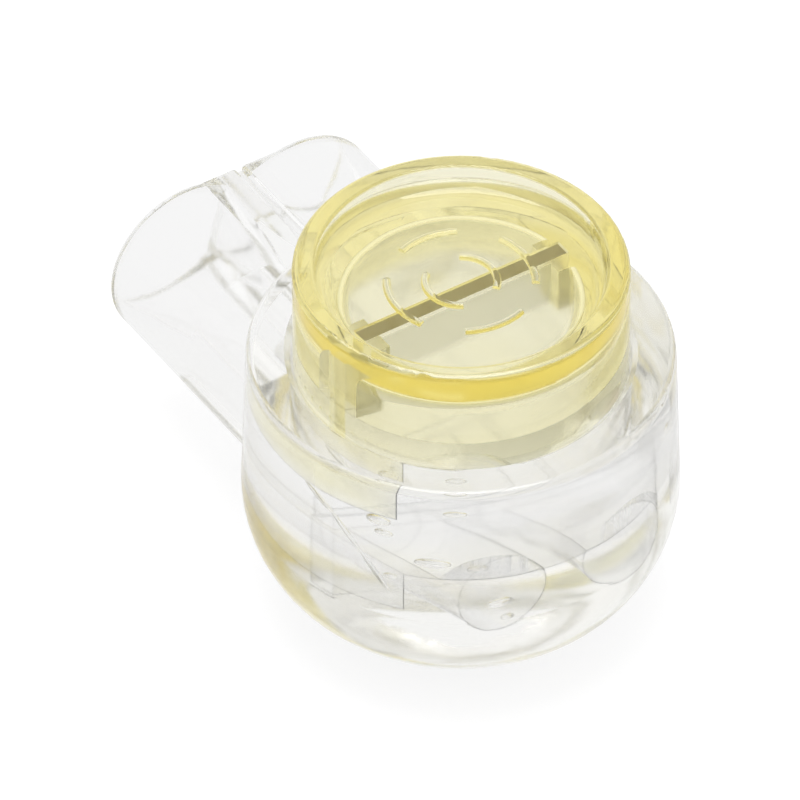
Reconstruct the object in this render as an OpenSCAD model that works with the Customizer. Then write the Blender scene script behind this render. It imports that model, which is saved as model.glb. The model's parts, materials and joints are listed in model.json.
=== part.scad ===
// Push-button butt connector for two insulated telephone wires.
// A clear housing takes both wires side by side in its twin-lobed port. Pressing the button drives a
// slotted contact down over the wires, through their insulation, and the sealant keeps water out.
// Millimetres. Z is the button's axis with the base at zero, and the port points along +Y.

/* [Housing] */
// Outside diameter of the round housing
housing_d = 11; // [9.6:0.1:13.2]
// Height of the housing from its base to its rim
housing_h = 7.8; // [6.5:0.1:9.4]
// Radius of the housing's rounded foot
foot_round = 3.6; // [2:0.1:4.3]
// How much the wall drafts in from the foot to the rim
wall_draft = 0.13; // [0:0.01:0.2]
// Radius of the rim's outer edge
rim_round = 0.2; // [0.1:0.05:0.4]
// Chamfer inside the rim that leads the button in
rim_lead = 0.15; // [0.05:0.05:0.3]

/* [Wires] */
// Largest diameter of a wire over its insulation
wire_d = 2.08; // [1.7:0.02:2.5]
// Radial clearance of a wire in its bore
wire_clearance = 0.11; // [0.05:0.01:0.15]
// Height of the wires' centres above the base
wire_z = 4; // [3.6:0.1:4.4]
// Distance between the centres of the two wires
wire_pitch = 3.25; // [2.9:0.05:3.9]
// Plastic left beyond the blind end of each bore
wire_stop_wall = 0.6; // [0.3:0.1:1.2]
// Height of the bed between the wires above their centres
bed_rise = 0.4; // [0.1:0.1:0.8]

/* [Port] */
// Distance from the button's axis to the port's mouth
port_reach = 10.35; // [8.6:0.05:12.5]
// Outside radius of a port lobe
lobe_r = 2.27; // [2:0.01:2.7]
// Depth of the flats between the lobes below the lobes' tops
flat_drop = 0.06; // [0.03:0.01:0.3]
// Width of the groove between the flats
groove_w = 0.3; // [0.2:0.1:1]
// Depth of that groove
groove_depth = 0.15; // [0.05:0.05:0.3]
// Radius of the mouth's outer edge
mouth_round = 0.2; // [0.1:0.05:0.4]
// Wall around the funnels at the mouth
mouth_wall = 0.5; // [0.4:0.05:0.8]
// Wall between the two funnels
mouth_web = 0.66; // [0.4:0.02:1]
// Length of the funnels that lead the wires in
funnel_l = 3.1; // [1.5:0.1:4]

/* [Button] */
// Diameter of the button
cap_d = 8.4; // [7:0.1:9.2]
// Radial clearance of the button in its well
cap_clearance = 0.06; // [0.03:0.01:0.1]
// Depth of the button's skirt inside the rim before it is pressed
cap_engaged = 0.5; // [0.3:0.1:1]
// How far the saddles in the skirt squeeze the largest wires when the button is pressed home
wire_squeeze = 0.24; // [0.1:0.02:0.4]
// Clearance left below the skirt, the ears and the contact when pressed home
stop_gap = 0.1; // [0.05:0.05:0.3]
// Length of the two ears below the skirt
ear_drop = 1.15; // [0.8:0.05:1.6]
// Gap between a wire and the ear beside it
ear_gap = 0.69; // [0.3:0.01:0.9]
// Width of the raised ring around the button's top
ring_w = 0.54; // [0.44:0.02:0.9]
// Radius of the lip between that ring and the dish inside it
lip_round = 0.1; // [0.05:0.05:0.2]
// Depth of the dish
dish_depth = 0.55; // [0.45:0.05:0.8]
// Radius of the button's outer top edge
cap_round = 0.18; // [0.1:0.02:0.25]
// Radius of the skirt's lower edge
skirt_round = 0.1; // [0.05:0.01:0.2]
// Thickness of the skirt's wall at that edge
skirt_wall = 1.05; // [0.9:0.05:1.4]
// How much the hollow in the button narrows towards its top
hollow_draft = 0.05; // [0:0.01:0.1]
// Radius of the corner at the hollow's top
hollow_round = 0.3; // [0.1:0.05:0.5]
// Thickness of the plate under the dish
plate_t = 0.87; // [0.8:0.01:1.2]
// Width of the two posts that hold the contact in the hollow
post_w = 1.2; // [0.9:0.1:1.6]
// How far each post reaches in over the end of the contact
post_grip = 0.5; // [0.3:0.05:0.8]

/* [Dish marks] */
// Width of the half-round raised marks in the dish
mark_w = 0.2; // [0.1:0.02:0.3]
// Radius of the outer marks
outer_mark_r = 1.85; // [1.5:0.05:2.3]
// Radius of the inner marks
inner_mark_r = 0.9; // [0.6:0.05:1.2]

/* [Contact] */
// Width of the contact blade
blade_w = 6; // [5:0.1:7.2]
// Thickness of the contact blade
blade_t = 0.4; // [0.3:0.05:0.5]
// Plastic between the dish and the blade's top edge
blade_cover = 0.65; // [0.4:0.05:0.8]
// Clearance between the blade and the wires below it before the button is pressed
blade_gap = 0.06; // [0.02:0.02:0.2]
// Clearance around the blade in the button
blade_fit = 0.04; // [0.02:0.01:0.08]
// Clearance around the blade in the housing's bed
bed_fit = 0.1; // [0.05:0.01:0.2]
// Width of the slot that grips a conductor
grip_w = 0.34; // [0.25:0.01:0.5]
// Width of the slot's mouth at the blade's lower edge
grip_mouth_w = 1.3; // [0.8:0.1:1.6]
// Height of that mouth
grip_mouth_h = 0.8; // [0.4:0.1:1.2]
// Height of the slot's closed end above the conductor when pressed
grip_over = 0.45; // [0.3:0.05:0.8]

/* [Sealant] */
// Clearance around the sealant
gel_gap = 0.05; // [0.02:0.01:0.1]
// How far the sealant rises into the button's hollow
gel_rise = 0.6; // [0.2:0.05:1]

/* [Hidden] */
$fn = 96;
housing_r = housing_d / 2;
cap_r = cap_d / 2;
well_r = cap_r + cap_clearance;
bore_r = wire_d / 2 + wire_clearance;
bed_z = wire_z + bed_rise;
// The button stops flush with the rim, where its skirt comes down to the bed.
skirt_z = housing_h - cap_engaged;
travel = skirt_z - bed_z - stop_gap;
cap_top_z = housing_h + travel;
dish_z = cap_top_z - dish_depth;
hollow_r = cap_r - skirt_wall;
hollow_z = dish_z - plate_t;
ear_z = skirt_z - ear_drop;
ear_x = wire_pitch / 2 + wire_d / 2 + ear_gap;
blade_top_z = dish_z - blade_cover;
blade_z = wire_z + wire_d / 2 + blade_gap;
grip_top_z = wire_z + travel + grip_over;
pocket_z = ear_z - travel - stop_gap;
blade_bed_z = blade_z - travel - stop_gap;
// The bores end a wall's thickness short of the housing's far side.
bore_end_y = wire_stop_wall - sqrt(pow(housing_r, 2) - pow(wire_pitch / 2 + bore_r, 2));
// The port starts inside the housing, clear of the well that is cut later.
port_start = housing_r / 2;
cut_over = 1;
// Radius, start angle and sweep of each mark in the dish. Each is repeated half a turn round.
dish_marks = [[outer_mark_r, -35, 60], [outer_mark_r, 60, 50], [inner_mark_r, -50, 110]];

// Half section of a turned block: a wall that drafts in to its top, with quarter-round edges at both ends.
module turned_section(radius, draft, height, foot, top) {
    top_r = radius - draft;
    square([radius - foot, height - top]);
    polygon([[0, foot], [radius, foot], [top_r, height - top], [0, height - top]]);
    translate([0, foot]) square([top_r - top, height - foot]);
    intersection() {
        translate([radius - foot, foot]) circle(foot);
        translate([radius - foot, 0]) square(foot);
    }
    intersection() {
        translate([top_r - top, height - top]) circle(top);
        translate([top_r - top, height - top]) square(top);
    }
}

// Half outline of the port in length, rounded at the mouth's edge.
module port_section(drop) {
    radius = lobe_r - drop;
    edge_y = port_reach - mouth_round;
    translate([0, port_start]) square([radius, edge_y - port_start]);
    translate([0, edge_y - mouth_round]) square([radius - mouth_round, 2 * mouth_round]);
    intersection() {
        translate([radius - mouth_round, edge_y]) circle(mouth_round);
        translate([radius - mouth_round, edge_y]) square(mouth_round);
    }
}

// A slab of the port between two X positions, as high on each side of the wires as its section.
module port_slab(x_from, x_to, drop) {
    translate([x_to, 0, wire_z]) rotate([0, -90, 0]) linear_extrude(x_to - x_from) {
        port_section(drop);
        mirror([1, 0]) port_section(drop);
    }
}

module port_shell() {
    for (side = [-1, 1])
        translate([side * wire_pitch / 2, 0, wire_z]) rotate([-90, 0, 0])
            rotate_extrude() port_section(0);
    port_slab(-wire_pitch / 2, -groove_w / 2, flat_drop);
    port_slab(groove_w / 2, wire_pitch / 2, flat_drop);
    port_slab(-wire_pitch / 4, wire_pitch / 4, flat_drop + groove_depth);
}

// Straight bore with its blind end under the button.
module wire_bore(side) {
    translate([side * wire_pitch / 2, bore_end_y, wire_z]) rotate([-90, 0, 0])
        cylinder(h = port_reach - bore_end_y, r = bore_r);
}

// Funnel at the mouth, flat on the side of the web between the two.
module wire_funnel(side) {
    slope = (lobe_r - mouth_wall - bore_r) / funnel_l;
    full_r = bore_r + slope * (funnel_l + cut_over);
    intersection() {
        translate([side * wire_pitch / 2, port_reach - funnel_l, wire_z]) rotate([-90, 0, 0])
            cylinder(h = funnel_l + cut_over, r1 = bore_r, r2 = full_r);
        translate([side > 0 ? mouth_web / 2 : -mouth_web / 2 - 2 * full_r, port_reach - funnel_l, 0])
            cube([2 * full_r, funnel_l + cut_over, 2 * wire_z]);
    }
}

// The piece of a round plug that lies beyond a flat on each side.
module side_segments(radius, flat_x, z_from, z_to) {
    difference() {
        translate([0, 0, z_from]) cylinder(h = z_to - z_from, r = radius);
        translate([-flat_x, -2 * radius, z_from - cut_over])
            cube([2 * flat_x, 4 * radius, z_to - z_from + 2 * cut_over]);
    }
}

module blade_block(clearance, z_from, z_to) {
    translate([-blade_w / 2 - clearance, -blade_t / 2 - clearance, z_from])
        cube([blade_w + 2 * clearance, blade_t + 2 * clearance, z_to - z_from]);
}

module housing() {
    color([0.9, 0.92, 0.93, 0.4])
    difference() {
        union() {
            rotate_extrude() turned_section(housing_r, wall_draft, housing_h, foot_round, rim_round);
            port_shell();
        }
        translate([0, 0, bed_z]) cylinder(h = housing_h, r = well_r);
        translate([0, 0, housing_h - rim_lead])
            cylinder(h = 2 * rim_lead, r1 = well_r, r2 = well_r + 2 * rim_lead);
        side_segments(well_r, ear_x - cap_clearance, pocket_z, bed_z + cut_over);
        blade_block(bed_fit, blade_bed_z, bed_z + cut_over);
        for (side = [-1, 1]) {
            wire_bore(side);
            wire_funnel(side);
        }
    }
}

// A half-round raised mark bent round the dish's centre.
module dish_mark(radius, start, sweep) {
    translate([0, 0, dish_z]) rotate([0, 0, start])
        rotate_extrude(angle = sweep) translate([radius, 0]) circle(mark_w / 2);
}

// Half section of the button above its ears. The dish's wall is a small lip over a wide fillet.
module cap_section() {
    dish_r = cap_r - ring_w;
    lip_z = cap_top_z - lip_round;
    difference() {
        translate([0, skirt_z]) turned_section(cap_r, 0, cap_top_z - skirt_z, skirt_round, cap_round);
        translate([0, dish_z]) turned_section(dish_r, 0, 2 * dish_depth, dish_depth - lip_round, lip_round);
        difference() {
            translate([dish_r - lip_round, lip_z]) square(2 * lip_round);
            translate([dish_r + lip_round, lip_z]) circle(lip_round);
        }
    }
}

// Saddle in the skirt's edge that comes down on a wire when the button is pressed home.
module wire_saddle(side) {
    translate([side * wire_pitch / 2, -housing_r, wire_z + travel - wire_squeeze]) rotate([-90, 0, 0])
        cylinder(h = housing_d, d = wire_d);
}

// The hollow under the plate, open at the skirt's edge.
module cap_hollow() {
    depth = hollow_z - skirt_z + cut_over;
    translate([0, 0, skirt_z - cut_over]) rotate_extrude()
        turned_section(hollow_r, hollow_draft, depth, hollow_round, hollow_round);
}

// Post on the hollow's wall that holds one end of the contact.
module blade_post(side) {
    inner_x = blade_w / 2 - post_grip;
    outer_x = hollow_r + hollow_round;
    foot_z = skirt_z + gel_rise;
    translate([side > 0 ? inner_x : -outer_x, -post_w / 2, foot_z])
        cube([outer_x - inner_x, post_w, hollow_z + hollow_round - foot_z]);
}

module button_cap() {
    color([0.95, 0.84, 0.4, 0.75])
    difference() {
        union() {
            difference() {
                union() {
                    rotate_extrude() cap_section();
                    side_segments(cap_r, ear_x, ear_z, skirt_z + 2 * skirt_round);
                }
                cap_hollow();
            }
            for (side = [-1, 1]) blade_post(side);
            for (mark = dish_marks, turn = [0, 180])
                dish_mark(mark[0], turn + mark[1], mark[2]);
        }
        blade_block(blade_fit, ear_z - cut_over, blade_top_z + blade_fit);
        for (side = [-1, 1]) wire_saddle(side);
    }
}

// Outline of one gripping slot: a wide mouth that narrows to the straight slot with a round end.
module grip_slot() {
    mouth_top = blade_z + grip_mouth_h;
    polygon([
        [-grip_mouth_w / 2, blade_z - cut_over], [grip_mouth_w / 2, blade_z - cut_over],
        [grip_mouth_w / 2, blade_z], [grip_w / 2, mouth_top],
        [-grip_w / 2, mouth_top], [-grip_mouth_w / 2, blade_z]
    ]);
    translate([-grip_w / 2, mouth_top - grip_w / 4]) square([grip_w, grip_top_z - mouth_top]);
    translate([0, grip_top_z - grip_w / 2]) circle(grip_w / 2);
}

module contact_blade() {
    color([0.66, 0.6, 0.4])
    translate([0, blade_t / 2, 0]) rotate([90, 0, 0]) linear_extrude(blade_t)
        difference() {
            translate([-blade_w / 2, blade_z]) square([blade_w, blade_top_z - blade_z]);
            for (side = [-1, 1])
                translate([side * wire_pitch / 2, 0]) grip_slot();
        }
}

// The sealant fills the well from the bed to the button's skirt, between its ears, and rises a little into
// the hollow. The wires' paths through it are left open.
module sealant_gel() {
    gel_x = ear_x - gel_gap - cap_clearance;
    color([0.9, 0.93, 0.88, 0.5])
    difference() {
        union() {
            intersection() {
                translate([0, 0, bed_z]) cylinder(h = skirt_z - gel_gap - bed_z, r = well_r - gel_gap);
                translate([-gel_x, -housing_r, 0]) cube([2 * gel_x, housing_d, housing_h]);
            }
            translate([0, 0, bed_z])
                cylinder(h = skirt_z + gel_rise - gel_gap - bed_z, r = hollow_r - hollow_draft - gel_gap);
        }
        blade_block(gel_gap, blade_z - gel_gap, cap_top_z);
        for (side = [-1, 1]) wire_bore(side);
    }
}

housing();
button_cap();
contact_blade();
sealant_gel();
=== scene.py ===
"""Looks of the push-button butt connector: clear housing, amber button, plated contact and sealant."""
import json
import math

import bpy
from mathutils import Matrix, Vector


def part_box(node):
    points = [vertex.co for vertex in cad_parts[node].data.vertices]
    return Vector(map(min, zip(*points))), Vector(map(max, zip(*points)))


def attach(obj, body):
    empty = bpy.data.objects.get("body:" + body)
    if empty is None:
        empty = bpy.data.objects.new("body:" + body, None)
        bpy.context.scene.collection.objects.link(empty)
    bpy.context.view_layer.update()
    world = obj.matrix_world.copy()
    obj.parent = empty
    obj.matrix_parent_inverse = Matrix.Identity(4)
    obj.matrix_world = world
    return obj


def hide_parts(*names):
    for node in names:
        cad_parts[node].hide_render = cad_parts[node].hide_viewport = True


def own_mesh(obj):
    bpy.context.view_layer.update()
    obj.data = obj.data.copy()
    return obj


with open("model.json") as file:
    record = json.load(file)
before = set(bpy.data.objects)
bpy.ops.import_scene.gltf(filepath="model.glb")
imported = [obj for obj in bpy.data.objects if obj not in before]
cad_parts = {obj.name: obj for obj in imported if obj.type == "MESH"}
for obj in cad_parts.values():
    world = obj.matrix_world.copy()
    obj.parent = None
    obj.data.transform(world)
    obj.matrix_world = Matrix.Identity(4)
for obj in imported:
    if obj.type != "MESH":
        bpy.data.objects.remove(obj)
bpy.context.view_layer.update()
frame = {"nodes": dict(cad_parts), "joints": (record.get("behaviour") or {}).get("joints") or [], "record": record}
nodes = frame["nodes"]

MM = 0.001

# Moulding leaves slow waves on clear plastic: their length, and how far they lift the surface.
FLOW_WAVE, FLOW_LIFT = 2.381 * MM, 0.02 * MM
POLYPROPYLENE_IOR, GREASE_IOR = 1.49, 1.48
# The button's hollow, which the mould leaves matte, lies within this radius and below this height.
HOLLOW_WALL, HOLLOW_TOP = 3.3 * MM, 9.5 * MM
POLISHED_ROUGHNESS, MATTE_ROUGHNESS = 0.06, 0.2
# The contact's rolled faces are what lies this near to the front and back of its box.
ROLLED_SKIN = 0.001 * MM
# Size of the blotches on the contact's cut edges.
CUT_BLOTCH = 0.4 * MM

# The CAD model's sizes that no box gives: the clearance around the sealant, and the button's in the well.
GEL_GAP, CAP_CLEARANCE = 0.05 * MM, 0.06 * MM
# Floor of the ears' pockets.
POCKET_Z = 3.25 * MM
# The contact's slot in the bed: its floor, and its clearance around the contact.
SLOT_Z, SLOT_FIT = 2.2 * MM, 0.1 * MM
# The saddles over the wires: their radius, and how far they squeeze a wire under the pressed button.
SADDLE_R, WIRE_SQUEEZE = 1.04 * MM, 0.24 * MM
# How far the sealant rises into the button's hollow.
GEL_RISE = 0.6 * MM
# The cone that stands for the hollow: its radius at the base and at its head, and how far its head is over
# the sealant.
HOLLOW_BASE_R, HOLLOW_HEAD_R, HOLLOW_SPARE = 3.136 * MM, 3.122 * MM, 1 * MM

# The sealant wets the walls: its skin lies just inside the plastic, so no air shows between them.
WETTING = 0.008 * MM
# Radius of the sealant's core, before the button's foot is cut out, and its height around the skirt.
CORE_R, GAP_FILL_Z = 3.5 * MM, 7.6 * MM
# Sides of a round block. With 128 of them, the cuts leave the sealant's mesh open.
ROUND_SIDES = 120
SMOOTH_BELOW = math.radians(30)

# Air in the sealant. A thin crease runs down the left wall of the well and steepens towards its foot:
# its angles round the well in degrees, its heights, its depth in from the wall and its width.
CREASE_ANGLES = (185, 215)
CREASE_TOP, CREASE_FOOT = 6.1 * MM, 3.7 * MM
CREASE_DEPTH, CREASE_WIDTH = 0.04 * MM, 0.14 * MM
CREASE_STEEPENING = 1.5
CREASE_PARTS = 3
# Bubbles by the well's wall: angle round it, then height, depth, length along it and width in millimetres.
WALL_BUBBLES = (
    (210, 5.85, 0.3, 0.6, 0.32),
    (212, 5.5, 0.25, 0.45, 0.2),
    (228, 4.8, 0.2, 0.85, 0.28),
    (215, 4.2, 0.1, 0.35, 0.18),
    (235, 6.5, 0.15, 0.55, 0.18),
    (242, 4.7, 0.1, 0.5, 0.22),
    (321, 5.85, 0.2, 0.35, 0.18),
    (336, 4.85, 0.25, 0.3, 0.16))
# Bubbles in the left bore, in millimetres: across from its axis, away from its end, up, length and width.
BORE_BUBBLES = (
    (0.15, 0.3, -0.5, 0.7, 0.3),
    (0.25, 0.15, -0.95, 0.35, 0.2))
BUBBLE_SIDES, BUBBLE_RINGS = 16, 12

gel_low, gel_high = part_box("sealant_gel")
cap_low, cap_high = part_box("button_cap")
blade_low, blade_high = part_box("contact_blade")
travel = frame["joints"][0]["range_m"][1]
left_bore, right_bore = [mount for mount in frame["record"]["mounts"] if mount["kind"] == "bore"]
well_r = gel_high.y + GEL_GAP
bed_z = gel_low.z
gel_top_z = gel_high.z + GEL_GAP
skirt_z = gel_top_z - GEL_RISE
ear_x = gel_high.x + GEL_GAP + CAP_CLEARANCE


def colour(hex_code):
    """A linear RGBA colour from an sRGB hex code."""
    channels = [int(hex_code[i:i + 2], 16) / 255 for i in (1, 3, 5)]
    return [c / 12.92 if c <= 0.04045 else ((c + 0.055) / 1.055) ** 2.4 for c in channels] + [1]


def add_node(tree, kind, inputs=(), **settings):
    """Adds a node, sets its properties, and gives each named input a constant or a link."""
    new = tree.nodes.new(kind)
    for name, value in settings.items():
        setattr(new, name, value)
    for socket, value in dict(inputs).items():
        if isinstance(value, bpy.types.NodeSocket):
            tree.links.new(value, new.inputs[socket])
        else:
            new.inputs[socket].default_value = value
    return new


def new_material(name):
    made = bpy.data.materials.new(name)
    made.use_nodes = True
    made.node_tree.nodes.clear()
    return made, made.node_tree


def flow_waves(tree, place):
    """The slow waves of a moulded surface, as the normal for its shader."""
    waves = add_node(tree, "ShaderNodeTexNoise", {"Vector": place, "Scale": 1 / FLOW_WAVE, "Detail": 2})
    bump = add_node(tree, "ShaderNodeBump", {
        "Height": waves.outputs["Fac"], "Strength": 1, "Distance": FLOW_LIFT})
    return bump.outputs["Normal"]


def clear_polypropylene():
    """Clarified polypropylene, injection moulded: water-clear, with a faint milky veil and slow waves."""
    made, tree = new_material("clear_polypropylene")
    place = add_node(tree, "ShaderNodeTexCoord").outputs["Object"]
    skin = add_node(tree, "ShaderNodeBsdfPrincipled", {
        "Base Color": colour("#FFFFFF"), "Roughness": 0.1, "IOR": POLYPROPYLENE_IOR,
        "Transmission Weight": 1, "Normal": flow_waves(tree, place)})
    tint = add_node(tree, "ShaderNodeVolumeAbsorption", {"Color": colour("#F3EFCB"), "Density": 10})
    add_node(tree, "ShaderNodeOutputMaterial", {
        "Surface": skin.outputs["BSDF"], "Volume": tint.outputs["Volume"]})
    return made


def amber_polypropylene():
    """Amber-tinted polypropylene, injection moulded: pale lemon where thin, orange where light runs
    along it, glossy outside and matte in the hollow."""
    made, tree = new_material("amber_polypropylene")
    place = add_node(tree, "ShaderNodeTexCoord").outputs["Object"]
    parts = add_node(tree, "ShaderNodeSeparateXYZ", {"Vector": place})
    in_plan = add_node(tree, "ShaderNodeCombineXYZ", {"X": parts.outputs["X"], "Y": parts.outputs["Y"]})
    radius = add_node(tree, "ShaderNodeVectorMath", {0: in_plan.outputs["Vector"]}, operation="LENGTH")
    within = add_node(tree, "ShaderNodeMath", {
        0: radius.outputs["Value"], 1: HOLLOW_WALL}, operation="LESS_THAN")
    below = add_node(tree, "ShaderNodeMath", {
        0: parts.outputs["Z"], 1: HOLLOW_TOP}, operation="LESS_THAN")
    in_hollow = add_node(tree, "ShaderNodeMath", {
        0: within.outputs[0], 1: below.outputs[0]}, operation="MULTIPLY")
    roughness = add_node(tree, "ShaderNodeMapRange", {
        "Value": in_hollow.outputs[0], "To Min": POLISHED_ROUGHNESS, "To Max": MATTE_ROUGHNESS})
    skin = add_node(tree, "ShaderNodeBsdfPrincipled", {
        "Base Color": colour("#FFFEF4"), "Roughness": roughness.outputs["Result"],
        "IOR": POLYPROPYLENE_IOR, "Transmission Weight": 1, "Normal": flow_waves(tree, place)})
    tint = add_node(tree, "ShaderNodeVolumeAbsorption", {"Color": colour("#FEF58B"), "Density": 300})
    add_node(tree, "ShaderNodeOutputMaterial", {
        "Surface": skin.outputs["BSDF"], "Volume": tint.outputs["Volume"]})
    return made


def tinned_brass():
    """Tin-plated brass strip, stamped: bright grey rolled faces, and brown edges cut through the tin."""
    made, tree = new_material("tinned_brass")
    place = add_node(tree, "ShaderNodeTexCoord").outputs["Object"]
    parts = add_node(tree, "ShaderNodeSeparateXYZ", {"Vector": place})
    depth = add_node(tree, "ShaderNodeMath", {0: parts.outputs["Y"]}, operation="ABSOLUTE")
    rolled = add_node(tree, "ShaderNodeMath", {
        0: depth.outputs[0], 1: blade_high.y - ROLLED_SKIN}, operation="GREATER_THAN")
    blotches = add_node(tree, "ShaderNodeTexNoise", {
        "Vector": place, "Scale": 1 / CUT_BLOTCH, "Detail": 3})
    cut_edge = add_node(tree, "ShaderNodeMix", {
        "Factor": blotches.outputs["Fac"], "A": colour("#9A9166"), "B": colour("#ADA47A")},
        data_type="RGBA")
    tone = add_node(tree, "ShaderNodeMix", {
        "Factor": rolled.outputs[0], "A": cut_edge.outputs["Result"], "B": colour("#F4F4F0")},
        data_type="RGBA")
    skin = add_node(tree, "ShaderNodeBsdfPrincipled", {
        "Base Color": tone.outputs["Result"], "Roughness": 0.3, "Metallic": 1})
    add_node(tree, "ShaderNodeOutputMaterial", {"Surface": skin.outputs["BSDF"]})
    return made


def polybutene_grease():
    """Polybutene grease: clear and wet, so it nearly vanishes against the plastic."""
    made, tree = new_material("polybutene_grease")
    skin = add_node(tree, "ShaderNodeBsdfPrincipled", {
        "Base Color": colour("#FFFFFF"), "Roughness": 0.05, "IOR": GREASE_IOR, "Transmission Weight": 1})
    add_node(tree, "ShaderNodeOutputMaterial", {"Surface": skin.outputs["BSDF"]})
    return made


def dress(piece, material):
    piece.data.materials.clear()
    piece.data.materials.append(material)


def select_only(piece):
    bpy.ops.object.select_all(action="DESELECT")
    piece.select_set(True)
    bpy.context.view_layer.objects.active = piece


def settle(name):
    """Names the newest primitive and puts its place into its mesh."""
    piece = bpy.context.object
    piece.name = name
    select_only(piece)
    bpy.ops.object.transform_apply(location=True, rotation=True, scale=True)
    return piece


def round_block(name, start, end, start_r, end_r=None):
    """A cylinder between two points on its axis, or a cone if its end has a radius of its own."""
    start, end = Vector(start), Vector(end)
    along = end - start
    bpy.ops.object.select_all(action="DESELECT")
    bpy.ops.mesh.primitive_cone_add(
        vertices=ROUND_SIDES, radius1=start_r, radius2=end_r or start_r, depth=along.length,
        location=(start + end) / 2, rotation=along.to_track_quat("Z", "Y").to_euler())
    return settle(name)


def square_block(name, low, high):
    low, high = Vector(low), Vector(high)
    bpy.ops.object.select_all(action="DESELECT")
    bpy.ops.mesh.primitive_cube_add(size=1, location=(low + high) / 2, scale=high - low)
    return settle(name)


def air_pocket(middle, along, length, width):
    bpy.ops.object.select_all(action="DESELECT")
    bpy.ops.mesh.primitive_uv_sphere_add(
        segments=BUBBLE_SIDES, ring_count=BUBBLE_RINGS, radius=1, location=middle,
        rotation=along.to_track_quat("Z", "Y").to_euler(), scale=(width / 2, width / 2, length / 2))
    return settle("air")


def combine(piece, tool, operation):
    """Joins the tool to the piece or cuts it out of it, and removes the tool."""
    select_only(piece)
    change = piece.modifiers.new(operation.lower(), "BOOLEAN")
    change.operation = operation
    change.solver = "EXACT"
    change.object = tool
    bpy.ops.object.modifier_apply(modifier=change.name)
    bpy.data.objects.remove(tool)


def well_plug(name, low_z, high_z):
    """Fills the round well between two heights, and wets what it meets."""
    return round_block(name, (0, 0, low_z - WETTING), (0, 0, high_z + WETTING), well_r + WETTING)


def across_well(name, half_width, high_z):
    """A block from side to side of the well along Y, from the base up."""
    return square_block(name, (-half_width, -2 * well_r, 0), (half_width, 2 * well_r, high_z))


def blade_space(name, low_z, high_z, gap):
    """The contact's place in plan, wider by the gap on every side."""
    low = (blade_low.x - gap, blade_low.y - gap, low_z)
    high = (blade_high.x + gap, blade_high.y + gap, high_z)
    return square_block(name, low, high)


def by_wall(angle, height, depth):
    """A point in the well, at an angle round it and a depth in from its wall."""
    turn = math.radians(angle)
    return Vector(((well_r - depth) * math.cos(turn), (well_r - depth) * math.sin(turn), height))


def crease():
    """The crease's pockets of air, end to end."""
    points = []
    for step in range(CREASE_PARTS + 1):
        share = step / CREASE_PARTS
        angle = CREASE_ANGLES[0] + share * (CREASE_ANGLES[1] - CREASE_ANGLES[0])
        height = CREASE_TOP - share ** CREASE_STEEPENING * (CREASE_TOP - CREASE_FOOT)
        points.append(by_wall(angle, height, CREASE_DEPTH))
    for top, foot in zip(points, points[1:]):
        along = foot - top
        yield air_pocket((top + foot) / 2, along, along.length + CREASE_WIDTH, CREASE_WIDTH)


def wall_bubbles():
    for angle, height, depth, length, width in WALL_BUBBLES:
        middle = by_wall(angle, height * MM, depth * MM)
        along_wall = Vector((-middle.y, middle.x, 0))
        yield air_pocket(middle, along_wall, length * MM, width * MM)


def bore_end(bore):
    """Where along Y the bore ends blind, because its mount lies at the middle of its length."""
    return bore["pos_m"][1] - bore["dims"]["length_mm"] * MM / 2


def bore_bubbles(bore):
    x, _, z = bore["pos_m"]
    for across, from_end, above, length, width in BORE_BUBBLES:
        middle = Vector((x + across * MM, bore_end(bore) + from_end * MM, z + above * MM))
        yield air_pocket(middle, Vector((1, 0, 0)), length * MM, width * MM)


def button_foot():
    """What dips into the sealant of the button: its skirt, with a saddle over each wire, and its ears."""
    foot = round_block("foot", (0, 0, cap_low.z + WETTING), (0, 0, cap_high.z), cap_high.x - WETTING)
    hollow_top = (0, 0, gel_top_z + HOLLOW_SPARE)
    hollow = round_block("hollow", (0, 0, 0), hollow_top, HOLLOW_BASE_R + WETTING, HOLLOW_HEAD_R + WETTING)
    combine(foot, hollow, "DIFFERENCE")
    combine(foot, across_well("between_ears", ear_x + WETTING, skirt_z + WETTING), "DIFFERENCE")
    for bore in (left_bore, right_bore):
        x, _, wire_z = bore["pos_m"]
        z = wire_z + travel - WIRE_SQUEEZE
        saddle = round_block("saddle", (x, -2 * well_r, z), (x, 2 * well_r, z), SADDLE_R + WETTING)
        combine(foot, saddle, "DIFFERENCE")
    return foot


def filled_well():
    """Fills the well around the button's foot: the pool, the ears' pockets and the foot of the hollow."""
    well = well_plug("sealant", bed_z, GAP_FILL_Z)
    core = round_block("core", (0, 0, bed_z), (0, 0, gel_top_z + WETTING), CORE_R)
    combine(well, core, "UNION")
    pockets = well_plug("pockets", POCKET_Z, bed_z)
    inner_x = ear_x - CAP_CLEARANCE - WETTING
    combine(pockets, across_well("between_pockets", inner_x, cap_high.z), "DIFFERENCE")
    combine(well, pockets, "UNION")
    combine(well, button_foot(), "DIFFERENCE")
    combine(well, blade_space("blade_way", 0, cap_high.z, GEL_GAP), "DIFFERENCE")
    for air in (*crease(), *wall_bubbles()):
        combine(well, air, "DIFFERENCE")
    return well


def filled_slot():
    """Fills the contact's way down: its slot in the bed, and the pool between the slot and the contact."""
    slot = blade_space("sealant_slot", SLOT_Z - WETTING, bed_z + WETTING, SLOT_FIT + WETTING)
    column = blade_space("column", bed_z - SLOT_FIT, blade_low.z - GEL_GAP, GEL_GAP + WETTING)
    combine(slot, column, "UNION")
    return slot


def bore_plug(bore):
    """Fills a bore from its blind end to the wall of the well."""
    x, _, z = bore["pos_m"]
    radius = bore["dims"]["r_mm"] * MM + WETTING
    return round_block("sealant_bores", (x, bore_end(bore) - WETTING, z), (x, well_r, z), radius)


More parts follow.
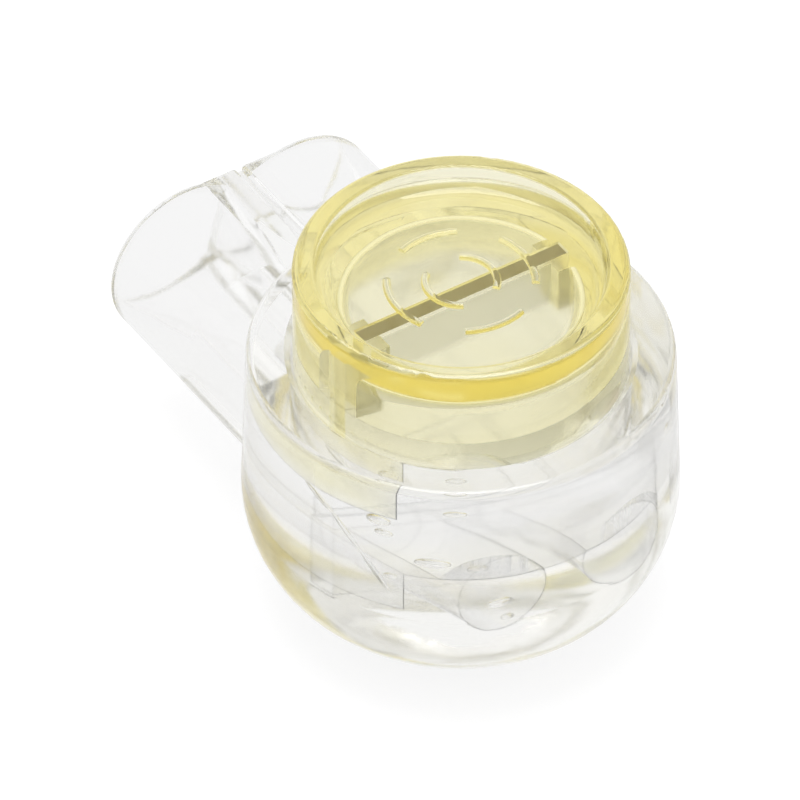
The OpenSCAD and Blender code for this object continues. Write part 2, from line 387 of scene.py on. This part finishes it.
def filled_bores():
    """Fills both bores below the bed, where neither the pool nor the slot does."""
    filling = bore_plug(left_bore)
    combine(filling, bore_plug(right_bore), "UNION")
    combine(filling, well_plug("pool", bed_z + 2 * WETTING, cap_high.z), "DIFFERENCE")
    combine(filling, blade_space("slot", 0, cap_high.z, SLOT_FIT), "DIFFERENCE")
    for air in bore_bubbles(left_bore):
        combine(filling, air, "DIFFERENCE")
    return filling


dress(nodes["housing"], clear_polypropylene())
dress(nodes["button_cap"], amber_polypropylene())
dress(nodes["contact_blade"], tinned_brass())
grease = polybutene_grease()
# Each filling, and the height that the pressed button flattens it to, which is not applied here: a filling with
# such a height only gets a mesh of its own. The bores keep theirs.
for filling, floor_z in ((filled_well(), bed_z), (filled_slot(), SLOT_Z), (filled_bores(), None)):
    select_only(filling)
    bpy.ops.object.shade_smooth_by_angle(angle=SMOOTH_BELOW)
    dress(filling, grease)
    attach(filling, "housing")
    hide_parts("sealant_gel")
    if floor_z:
        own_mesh(filling)

# The photograph's camera: a long lens, aimed so that the rim's centre lands at its pixel.
AZIMUTH, ELEVATION = math.radians(-33.05), math.radians(42.58)
DISTANCE, NEAREST = 400 * MM, 50 * MM
FRAME_PX = 800
SCALE_PX_PER_MM = 40.22
RIM_PX = Vector((461, 349))
FILM_WIDTH_MM = 36

back = Vector((
    math.sin(AZIMUTH) * math.cos(ELEVATION),
    -math.cos(AZIMUTH) * math.cos(ELEVATION),
    math.sin(ELEVATION)))
right = Vector((math.cos(AZIMUTH), math.sin(AZIMUTH), 0))
up = back.cross(right)
rim_centre = Vector((0, 0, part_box("housing")[1].z))
aside = (RIM_PX.x - FRAME_PX / 2) / SCALE_PX_PER_MM * MM
above = (FRAME_PX / 2 - RIM_PX.y) / SCALE_PX_PER_MM * MM
aim = rim_centre - right * aside - up * above

camera_data = bpy.data.cameras.new("camera")
camera_data.sensor_width = FILM_WIDTH_MM
camera_data.lens = SCALE_PX_PER_MM * DISTANCE / MM * FILM_WIDTH_MM / FRAME_PX
camera_data.clip_start = NEAREST
camera = bpy.data.objects.new("camera", camera_data)
turned = Matrix((right, up, back)).transposed().to_4x4()
camera.matrix_world = Matrix.Translation(aim + back * DISTANCE) @ turned
bpy.context.scene.collection.objects.link(camera)
bpy.context.scene.camera = camera

FLOOR_SIZE = 600 * MM
# The camera sees the paper and the backdrop white. The paper gives this much of that by its own glow.
PAPER_GLOW = 0.85
# How brightly clear plastic and metal show the paper, and the backdrop behind the object and before it.
PAPER_IN_PLASTIC, BACKDROP_FAR, BACKDROP_NEAR = 0.92, 1.01, 0.95
# The backdrop changes from far to near while a direction's share towards the camera in plan, with this
# share of its height added, goes from the first of these to the second.
BACKDROP_TURN, HEIGHT_SHARE = (-0.6, 0.7), 0.1
# A dark card around the photograph's camera gives bubbles and edges their dark glints: its brightness, and
# the cosine of the angle out to its edge.
DARK_CARD, DARK_CARD_EDGE = 0.2, math.cos(math.radians(9))
SOFTBOX_PLACE = Vector((0, 20 * MM, 250 * MM))
SOFTBOX_SIZE, SOFTBOX_WATTS = 160 * MM, 0.35
# Light crosses many faces of clear plastic before it comes out.
BOUNCES_IN_PLASTIC, BOUNCES_IN_GLOSS = 28, 16


def make_floor():
    bpy.ops.object.select_all(action="DESELECT")
    bpy.ops.mesh.primitive_plane_add(size=FLOOR_SIZE, location=(0, 0, 0))
    floor = bpy.context.object
    floor.name = "floor"
    made, tree = new_material("white_paper")
    # The glow is too even to need sampling as a lamp.
    made.cycles.emission_sampling = "NONE"
    paper = add_node(tree, "ShaderNodeBsdfDiffuse", {"Color": colour("#7C7C7C")})
    glow = add_node(tree, "ShaderNodeEmission", {"Color": colour("#FFFFFF"), "Strength": PAPER_GLOW})
    straight = add_node(tree, "ShaderNodeAddShader", {0: paper.outputs[0], 1: glow.outputs[0]})
    in_plastic = add_node(tree, "ShaderNodeEmission", {
        "Color": colour("#FFFFFF"), "Strength": PAPER_IN_PLASTIC})
    sight = add_node(tree, "ShaderNodeLightPath")
    shown = add_node(tree, "ShaderNodeMixShader", {
        0: sight.outputs["Is Camera Ray"], 1: in_plastic.outputs[0], 2: straight.outputs[0]})
    add_node(tree, "ShaderNodeOutputMaterial", {"Surface": shown.outputs[0]})
    dress(floor, made)


def make_world():
    world = bpy.data.worlds.new("studio")
    bpy.context.scene.world = world
    world.use_nodes = True
    # The backdrop is too even to need sampling as a lamp.
    world.cycles.sampling_method = "NONE"
    tree = world.node_tree
    tree.nodes.clear()
    direction = add_node(tree, "ShaderNodeTexCoord").outputs["Generated"]
    nearness = add_node(tree, "ShaderNodeVectorMath", {
        0: direction, 1: (back.x, back.y, HEIGHT_SHARE)}, operation="DOT_PRODUCT")
    backdrop = add_node(tree, "ShaderNodeMapRange", {
        "Value": nearness.outputs["Value"],
        "From Min": BACKDROP_TURN[0], "From Max": BACKDROP_TURN[1],
        "To Min": BACKDROP_FAR, "To Max": BACKDROP_NEAR})
    facing = add_node(tree, "ShaderNodeVectorMath", {0: direction, 1: back}, operation="DOT_PRODUCT")
    on_card = add_node(tree, "ShaderNodeMath", {
        0: facing.outputs["Value"], 1: DARK_CARD_EDGE}, operation="GREATER_THAN")
    in_plastic = add_node(tree, "ShaderNodeMix", {
        "Factor": on_card.outputs[0], "A": backdrop.outputs["Result"], "B": DARK_CARD},
        data_type="FLOAT")
    sight = add_node(tree, "ShaderNodeLightPath")
    strength = add_node(tree, "ShaderNodeMix", {
        "Factor": sight.outputs["Is Camera Ray"], "A": in_plastic.outputs["Result"], "B": 1.0},
        data_type="FLOAT")
    light = add_node(tree, "ShaderNodeBackground", {
        "Color": colour("#FFFFFF"), "Strength": strength.outputs["Result"]})
    add_node(tree, "ShaderNodeOutputWorld", {"Surface": light.outputs[0]})


def add_softbox():
    """A soft lamp overhead, which gives the floor the object's shadow."""
    lamp = bpy.data.lights.new("softbox_top", "AREA")
    lamp.shape = "RECTANGLE"
    lamp.size = SOFTBOX_SIZE
    lamp.size_y = SOFTBOX_SIZE
    lamp.energy = SOFTBOX_WATTS
    # Deeper in the plastic its light hardly shows beside the backdrop's, and would only take time.
    lamp.cycles.max_bounces = 1
    softbox = bpy.data.objects.new("softbox_top", lamp)
    softbox.location = SOFTBOX_PLACE
    softbox.rotation_euler = SOFTBOX_PLACE.to_track_quat("Z", "Y").to_euler()
    softbox.visible_transmission = False
    bpy.context.scene.collection.objects.link(softbox)


make_floor()
make_world()
add_softbox()

scene = bpy.context.scene
scene.view_settings.view_transform = "Standard"
scene.cycles.max_bounces = BOUNCES_IN_PLASTIC
scene.cycles.transmission_bounces = BOUNCES_IN_PLASTIC
scene.cycles.glossy_bounces = BOUNCES_IN_GLOSS
